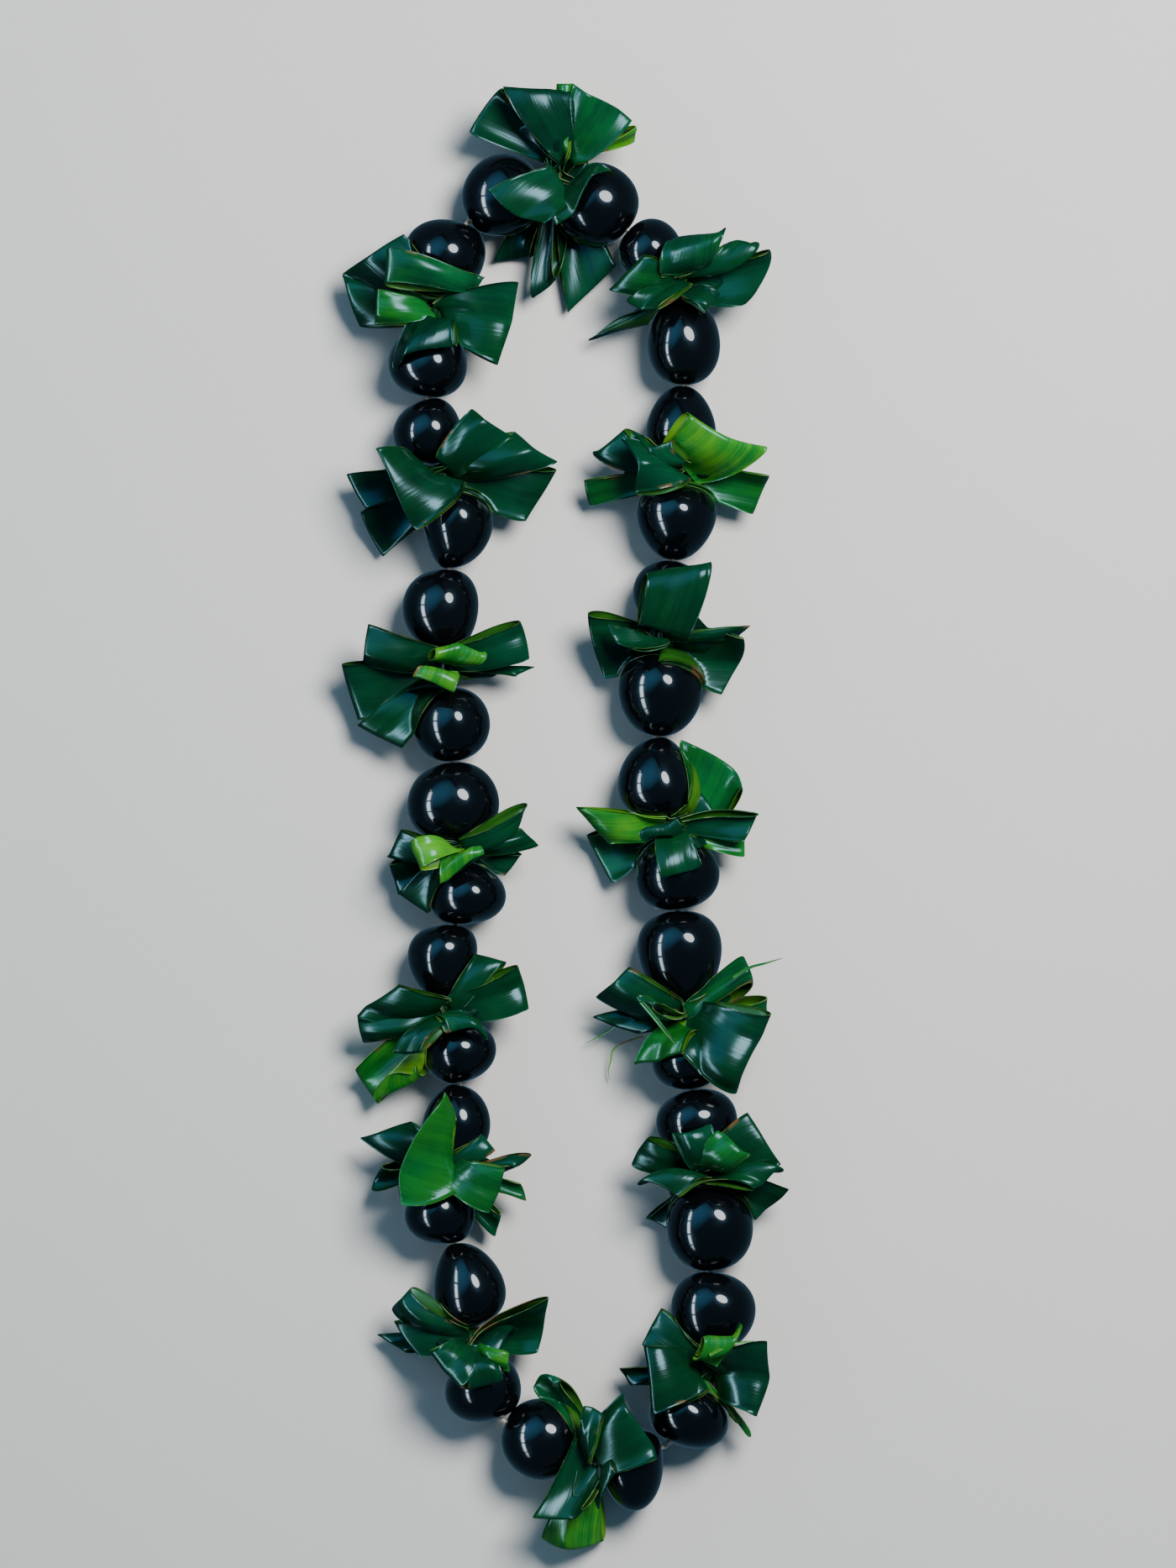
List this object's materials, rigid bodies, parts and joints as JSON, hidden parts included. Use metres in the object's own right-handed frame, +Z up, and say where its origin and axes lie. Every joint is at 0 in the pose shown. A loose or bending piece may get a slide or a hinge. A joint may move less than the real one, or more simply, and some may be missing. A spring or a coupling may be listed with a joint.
{
  "type": "kukui nut lei",
  "caption": "Closed lei of glossy black kukui nuts on a cord, with folded green ti leaf rosettes between pairs of nuts, laid flat.",
  "frame": {"origin": "centre of the bounding box, on the surface that the lei lies on", "axes": "+Y along the lei's long way, toward the rosette that lies at the top in the picture; +Z up, away from the surface; +X to the right as seen from above"},
  "size_m": [0.1613, 0.5212, 0.0366],
  "materials": {
    "polished_nut": "polished, near black, with a clear gloss",
    "ti_leaf": "glossy dark green leaf with fine parallel veins and a paler underside",
    "cotton_thread": "matt white thread"
  },
  "bodies": {
    "root": {"nut_01": "polished_nut", "nut_02": "polished_nut", "nut_03": "polished_nut", "nut_04": "polished_nut", "nut_05": "polished_nut", "nut_06": "polished_nut", "nut_07": "polished_nut", "nut_08": "polished_nut", "nut_09": "polished_nut", "nut_10": "polished_nut", "nut_11": "polished_nut", "nut_12": "polished_nut", "nut_13": "polished_nut", "nut_14": "polished_nut", "nut_15": "polished_nut", "nut_16": "polished_nut", "nut_17": "polished_nut", "nut_18": "polished_nut", "nut_19": "polished_nut", "nut_20": "polished_nut", "nut_21": "polished_nut", "nut_22": "polished_nut", "nut_23": "polished_nut", "nut_24": "polished_nut", "nut_25": "polished_nut", "nut_26": "polished_nut", "nut_27": "polished_nut", "nut_28": "polished_nut", "nut_29": "polished_nut", "nut_30": "polished_nut", "nut_31": "polished_nut", "nut_32": "polished_nut", "ti_rosette_01": "ti_leaf", "ti_rosette_02": "ti_leaf", "ti_rosette_03": "ti_leaf", "ti_rosette_04": "ti_leaf", "ti_rosette_05": "ti_leaf", "ti_rosette_06": "ti_leaf", "ti_rosette_07": "ti_leaf", "ti_rosette_08": "ti_leaf", "ti_rosette_09": "ti_leaf", "ti_rosette_10": "ti_leaf", "ti_rosette_11": "ti_leaf", "ti_rosette_12": "ti_leaf", "ti_rosette_13": "ti_leaf", "ti_rosette_14": "ti_leaf", "ti_rosette_15": "ti_leaf", "ti_rosette_16": "ti_leaf", "stringing_cord": "cotton_thread"}
  },
  "joints": []
}
